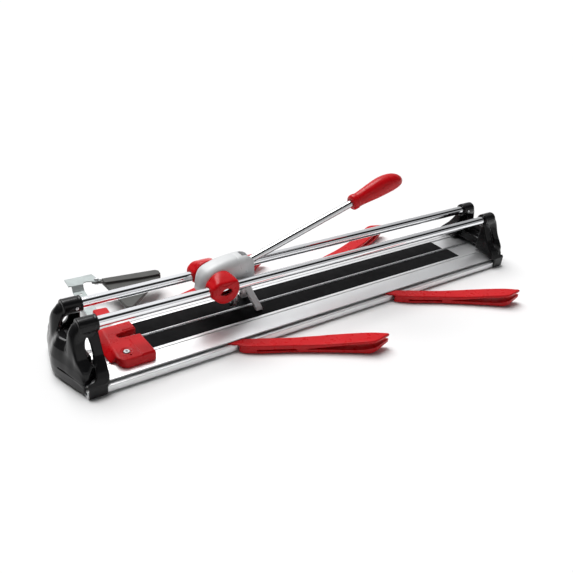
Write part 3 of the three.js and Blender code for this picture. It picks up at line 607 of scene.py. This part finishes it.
# ---------------------------------------------------------------- fence, lateral stop and set square
def fence_field():
    left, front = FENCE_X - 65, -71.5
    corner = [(left + 18 - 18 * math.cos(t), front + 18 - 18 * math.sin(t))
              for t in np.radians(np.linspace(0, 90, 9))]
    notch = [(FENCE_X - 33 + 6 * math.sin(t), -6 * math.cos(t)) for t in -np.radians(np.linspace(0, 180, 9))]
    plan = [(left + 6, 35), *corner, (FENCE_X, front), (FENCE_X, -8.8), *notch, (FENCE_X, 8.2), (FENCE_X, 35)]
    side = soften([(35, 28), (35, 41), (front + 2, 41), (front, 38), (front, ledge(front) + 0.4),
                   (-LEDGE_INNER, 28)], 2.0)
    skirt = soften([(left - 10, 28.4), (left + 8, 28.4), (left + 8, 40.4), (left + 3, 40.4)], 1.2)

    def field(x, y, z):
        body = meet(flat(x, y, plan), flat(y, z, side), 2.4)
        lip = slab(flat(x, z, skirt), y, -52, 34, 1.2)
        body = fuse(body, lip, 2)
        body = meet(body, (z - 41.2 + (-451.3 + y * 0.115 - x) * 0.62) * 0.85, 1.6)
        for y0, y1 in ((11, 33), (front + 3, -11)):
            body = fuse(body, block(x, y, z, (FENCE_X - 25, y0, 36), (FENCE_X - 0.6, y1, 42.2), 1.1), 0.8)
        body = carve(body, block(x, y, z, (-456.5, 3, 20), (-422.5, 50, 32.4), 0.4), 0.6)
        head = np.hypot(x - FENCE_X + 43, y + 47.5)
        body = carve(body, np.maximum(head - 9.5, 40.0 - z), 1.2)
        body = carve(body, np.maximum(head - 6.6, 37.9 - z), 0.8)
        body = carve(body, head - 2.9, 0.6)
        return carve(body, np.maximum(np.hypot(x - FENCE_X + 41, y + 60) - 1.7, 36 - z), 0.8)
    return field


def guide_field():
    low = ledge(79.4) + 0.9
    section = soften([(-13, ledge(73) + 0.9), (-13, 41), (13, 41), (13, low), (-3, low)], 5)

    def field(x, y, z):
        body = slab(flat(y, z, section), x, -3, 24, 3.6)
        return carve(body, block(x, y, z, (-9, -30, 28.9), (10.1, 30, 32), 0.4), 0.8)
    return field


def square_field():
    outer = soften([(48, 113), (165, 108.5), (163, 88), (70, 0.5), (60, 4), (50, 98)], 6)
    bar = soften([(50, 96), (48, 113), (158, 109), (164, 104), (163, 90), (120, 90)], 3)
    lug = soften([(28, 108), (38, 105), (52, 100), (52, 112), (38, 120), (30, 118)], 3)

    def field(x, y, z):
        plate = slab(flat(x, y, outer), z, 30.2, 37, 1.1)
        raised = slab(flat(x, y, bar), z, 34, 42, 1.2)
        body = fuse(plate, raised, 1.5)
        tab = slab(flat(x, y, lug), z, 36, 39.7, 0.8)
        body = fuse(body, tab, 1.0)
        return carve(body, np.hypot(x - 38, y - 112) - 2.5, 0.4)
    return field


def add_fence_and_stop():
    add_piece("fence_moulding", skin("fence_moulding", fence_field(), (-471, -72, 22), (-395, 36, 43), 0.9),
              "fence_block")
    place = shift(STOP_PLACE[0], STOP_PLACE[1], 0, STOP_PLACE[2])
    add_piece("guide_moulding", skin("guide_moulding", guide_field(), (-4, -14, 20), (25, 14, 42), 0.6),
              "stop_guide", place=place)
    add_piece("square_moulding", skin("square_moulding", square_field(), (27, 0, 29), (166, 121, 43), 0.9),
              "set_square", place=place)


# ---------------------------------------------------------------- carriage
def carriage_field():
    c = CARRIAGE_X
    crest = curve([(-30, 87), (-33.6, 100), (-33, 112), (-30, 122.5), (-24.5, 130.5), (-17, 135.3), (-7, 139),
                   (8, 143.4), (29, 146.6), (50, 147.8), (62, 146.8), (71, 142.8), (78, 135.6), (83.5, 125.5),
                   (87, 112), (88.6, 97), (88, 88), (60, 85.5), (10, 85.5)])
    plan = soften([(-60, 12), (-31, 17.6), (-18, 40), (60, 40), (61, 20.8), (74, 18.6), (82, 14), (89, 6.5),
                   (89, -6.5), (82, -14), (74, -18.6), (61, -20.8), (60, -40), (-18, -40), (-31, -17.6),
                   (-60, -12)], 8)
    crease = [(43, 150), (40.5, 139), (45.5, 127)]

    def field(x, y, z):
        along = x - c
        body = slab(flat(along, z, crest), y, -20.8, 20.8, 15)
        body = meet(body, flat(along, y, plan), 9)
        body = meet(body, 90 - z, 2)
        fold = [np.abs(flat(along, z, [a, b, (b[0] + 0.01, b[1])])) for a, b in zip(crease, crease[1:])]
        body = carve(body, np.maximum(np.minimum(*fold) - 0.5, np.abs(body) - 0.5), 1.4)
        for side in (-1, 1):
            body = carve(body, np.hypot(y - side * RAIL_Y, z - RAIL_Z) - 13.4, 1.6)
        slot = np.maximum(np.abs(y) - 7.9, np.maximum(PIVOT_X + 0.5 - x, 100 - z))
        body = carve(body, slot, 2)
        cavity = np.maximum(np.abs(y) - 8.2, np.maximum(c + 18 - x, z - 138.5))
        return carve(body, cavity, 1.2)
    return field


def cap_field():
    dome = soften([(-60, 21), (27.5, 21), (27.5, 44.5), (26.5, 47.5), (24, 49.4), (19.5, 50), (-60, 50)], 1.4)
    eye = curve([(10.5, 0.6), (6, 5.6), (-1, 8), (-8, 6.4), (-13, 1.2), (-14.6, -1), (-9.5, -3.8), (-3, -4.8),
                 (5, -4)])
    shield = [(-40, 13), (-15.5, 16.5), (-7, 11), (4, 12), (14, 17), (40, 18), (40, 60), (-40, 60)]

    def field(x, y, z):
        """In the cap's own frame: x and z from its centre, y outwards from the middle of the carriage."""
        body = flat(np.hypot(x, z), y, dome)
        flank = block(x, y, z, (-29.5, 21, -12), (0, 47, 10), 5)
        body = fuse(body, flank, 8)
        body = meet(body, (z - 27.5 + (y - 26) * 0.45) * 0.91, 5)
        ring = np.hypot(np.hypot(x, z) - 27.5, y - 25) - 0.7
        body = carve(body, ring, 0.8)
        body = carve(body, np.maximum(flat(x, z, shield), 49.1 - y), 1.2)
        offset = np.hypot(y - RAIL_Y, z - RAIL_Z + CAP_Z)
        body = carve(body, np.maximum(offset - 13.4, np.abs(x) - 25.4), 0.6)
        body = carve(body, offset - 9.9, 1.0)
        opening = np.maximum(flat(x, z - RAIL_Z + CAP_Z - 1, eye), 38 - y)
        return carve(body, opening, 1.6)
    return field


def breaker_field():
    legs = soften(both([(6, 74), (9, 68.5), (30.5, 38), (30.5, 29.9), (22.5, 29.9), (22.5, 34), (7, 53),
                        (3, 56)]), 2.0)

    def field(x, y, z):
        """x from the middle of the pads; the legs lean back as they rise."""
        along = x + (z - 29.9) * 0.36
        outline = flat(y, z, legs)
        body = slab(outline, along, -7.2, 7.2, 1.6)
        panel = np.maximum(outline + 2.4, np.maximum(np.abs(z - 51) - 14, 3.2 - np.abs(along)))
        body = carve(body, panel, 0.8)
        return carve(body, np.hypot(y, z - 67) - 3.2, 0.6)
    return field


def hub_field():
    drop = soften([(-12, 118), (-12, 92), (3, 92), (6, 84), (8.5, 62), (17.5, 62), (11, 80), (17, 112)], 2.5)
    lean = (math.cos(LEVER_ANGLE), math.sin(LEVER_ANGLE))

    def field(x, y, z):
        boss = slab(np.hypot(x - PIVOT_X, z - PIVOT_Z) - 16, y, -7.5, 7.5, 1.5)
        arm = slab(flat(x - PIVOT_X, z, drop), y, -7.5, 7.5, 1.5)
        body = fuse(boss, arm, 4)
        along = (x - PIVOT_X) * lean[0] + (z - PIVOT_Z) * lean[1]
        across = (z - PIVOT_Z) * lean[0] - (x - PIVOT_X) * lean[1] - ROD_RISE
        body = np.minimum(body, slab(np.hypot(across, y) - SPIGOT_R, along, 8, 36, 0.6))
        body = carve(body, np.hypot(x - PIVOT_X, z - PIVOT_Z) - 4.2, 0.6)
        return carve(body, block(x, y, z, (WHEEL_X - 4.9, -4, 60), (WHEEL_X + 4.9, 4, 100), 0.4), 0.5)
    return field


def add_carriage():
    c = CARRIAGE_X
    casting = skin("carriage_casting", carriage_field(), (c - 36, -22, 89), (c + 90, 22, 149), 0.9)
    add_piece("carriage_casting", casting, "carriage_body")
    mesh = skin("cap_moulding", cap_field(), (-31, 20, -28), (28, 51, 28), 0.8)
    add_piece("cap_moulding_rear", mesh, "cap_rear", place=shift(c, 0, CAP_Z))
    add_piece("cap_moulding_front", mirrored(mesh), "cap_front", place=shift(c, 0, CAP_Z))
    hub = skin("lever_casting", hub_field(), (PIVOT_X - 18, -9, 60), (PIVOT_X + 40, 9, 139), 0.7)
    add_piece("lever_casting", hub, "lever_hub")
    add_piece("breaker_casting", skin("breaker_casting", breaker_field(), (-26, -32, 29), (9, 32, 75), 0.7),
              "breaker_foot", place=shift(PIVOT_X + 36.75))
    for side in (-1, 1):
        face = "front" if side < 0 else "rear"
        for end, x in (("left", c - 25), ("right", c + 13)):
            ring = [(9.7, 0.5), (10.2, 0), (12.6, 0), (13.05, 0.5), (13.05, 11.5), (12.6, 12), (10.2, 12),
                    (9.7, 11.5)]
            add_piece(f"bush_ring_{face}_{end}", lathe(f"bush_ring_{face}_{end}", ring), f"bush_{face}_{end}",
                      place=shift(x, side * RAIL_Y, RAIL_Z))


# ---------------------------------------------------------------- lever and wheel
def grip_mesh():
    """Rings along the lever, each with its own height and radius, smoothed between with a spline."""
    rings = [(0, 0, 12.2), (0.6, 0, 14.0), (2.5, 0, 15.9), (4.8, 0, 16.5), (8.7, -0.2, 16.7),
             (12, -0.3, 16.5), (13.5, -0.3, 15.6), (16, -0.2, 15.4), (25, 0.4, 15.6), (44, 0.8, 17.6),
             (60, 1.1, 19.3), (75, 1.2, 20.4), (91, 0.6, 20.5), (104, -0.9, 19.7), (115, -2.6, 17.9),
             (123.5, -4.6, 15.3), (130.2, -6.4, 12.1), (134.6, -7.6, 8.3), (137, -8.5, 4.0),
             (137.6, -8.7, 0.01)]
    at = np.array(rings, float)
    fine = []
    for i in range(len(at) - 1):
        p = [at[max(i - 1, 0)], at[i], at[i + 1], at[min(i + 2, len(at) - 1)]]
        fine += [spline(p, step / 4) for step in range(4)]
    fine.append(at[-1])
    inner = [(0, 0, LEVER_R + 0.3), (60, 0, LEVER_R + 0.3), (60, 0, 0.01)]
    rows = [np.array(r, float) for r in reversed(inner)] + fine
    sides = 96
    points, faces = [], []
    for row, (along, rise, radius) in enumerate(rows):
        for i in range(sides):
            turn = 2 * math.pi * i / sides
            squeeze = 0.88 if row >= len(inner) else 1.0
            y, z = radius * squeeze * math.cos(turn), rise + radius * math.sin(turn)
            points.append((GRIP_START + along, y, z))
        if row:
            for i in range(sides):
                a, b = (row - 1) * sides + i, (row - 1) * sides + (i + 1) % sides
                faces.append((a, b, b + sides, a + sides))
    return tidy(make_mesh("grip_moulding", np.array(points) * MM, faces), 40)


def add_lever():
    place = (Matrix.Translation((PIVOT_X * MM, 0, PIVOT_Z * MM)) @ Matrix.Rotation(-LEVER_ANGLE, 4, "Y")
             @ Matrix.Translation((0, 0, ROD_RISE * MM)))
    start, end, bore = 16.3, GRIP_START + 60, SPIGOT_R + 0.3
    rod = lathe("lever_bar", [(bore, start + 0.4), (bore + 0.4, start), (LEVER_R - 0.4, start),
                              (LEVER_R, start + 0.4), (LEVER_R, end - 0.6), (LEVER_R - 0.6, end), (0.01, end),
                              (0.01, 37), (bore, 37)])
    rod.materials.append(MATERIALS["lever_tube"])
    add_piece("lever_bar", rod, "lever_rod", place=place)
    add_piece("grip_moulding", grip_mesh(), "lever_grip", place=place)
    r = WHEEL_R
    rim = [(2.15, -1.45), (3.6, -1.5), (3.8, -1.3), (7.2, -1.3), (7.4, -1.5), (r - 2, -1.5),
           (r - 0.08, -0.06), (r - 0.08, 0.06), (r - 2, 1.5), (7.4, 1.5), (7.2, 1.3), (3.8, 1.3),
           (3.6, 1.5), (2.15, 1.45)]
    add_piece("wheel_disc", lathe("wheel_disc", rim, 128, "Y", 20), "scoring_wheel",
              place=shift(WHEEL_X, 0, WHEEL_Z))


# ---------------------------------------------------------------- side supports
def arm_field():
    """In the support's own frame: pivot at the origin, +x to its free end, +y towards the base."""
    plan = soften([(16, -13), (28, -17.2), (57, -19), (109, -18.5), (165, -21), (222, -25), (258, -29),
                   (270, -27.6), (277, -24), (303, -6), (300, -3.4), (283, -1), (255, 2.5), (225, 6.5),
                   (190, 9.4), (150, 9), (110, 7), (50, 7), (22, 6.3), (14, 3)], 6)
    rise = soften([(-12, 1.2), (264, 1.2), (272, 3), (290, 8), (310, 13), (310, 31), (270, 30.5), (250, 28.4),
                   (225, 25.2), (195, 21.9), (170, 19.7), (130, ARM_TOP), (-12, ARM_TOP)], 12)
    tongue = soften([(-8, 0), (-5.6, 5.6), (0, 8), (22, 6.3), (30, 0), (18, -13), (-5.6, -5.6)], 3)
    room = [(-20, -17.95), (160, 20.3), (160, 60), (-20, 60)]
    fork = soften([(142, 8.7), (170, 9), (200, 8.8), (225, 9.2), (250, 10.8), (264, 13.4), (290, 18),
                   (325, 22.4), (325, 25.6), (290, 25), (264, 23.8), (250, 22.4), (225, 19.6), (195, 15.8),
                   (170, 12.4), (142, 9.4)], 0.5)
    pocket = soften([(47, 6.4), (122, 6.4), (122, 9.2), (47, 9.2)], 1.2)

    def field(x, y, z):
        body = meet(flat(x, y, plan), flat(x, z, rise), 2.2)
        body = fuse(body, slab(flat(x, y, tongue), z, LIP_TOP + 0.45, ARM_TOP, 0.6), 1)
        body = fuse(body, slab(np.hypot(x - 257, y + 22) - 5, z, 0.4, 3, 0.4), 0.6)
        body = carve(body, np.maximum(flat(x, y, room), z - LIP_TOP - 0.45), 0.4)
        body = carve(body, flat(x, z, fork), 1.0)
        body = carve(body, np.maximum(flat(x, z, pocket), y + 12), 0.8)
        return carve(body, np.hypot(x, y) - 2.85, 0.5)
    return field


def add_arms():
    mesh = skin("support_moulding", arm_field(), (-9, -30, 0), (305, 11, 31.5), 1.1)
    rear_mesh = mirrored(mesh)
    for name, x, side, angle in ARMS:
        add_piece(f"support_{name}", mesh if side < 0 else rear_mesh, f"support_arm_{name}",
                  place=shift(x, side * ARM_PIVOT_Y, 0, math.radians(side * angle)))


# ---------------------------------------------------------------- the scene
add_world()
add_camera()
add_floor()
add_sun("key_light", (0.08, -0.5, -1), 3.3, 44)
MATERIALS = make_materials()
for node, cad in NODES.items():
    cad.data.materials.clear()
    cad.data.materials.append(MATERIALS[SLOT_OF[node]])
    round_edges(cad, 0.3)
add_base()
add_rails()
add_heads()
add_fence_and_stop()
add_carriage()
add_lever()
add_arms()
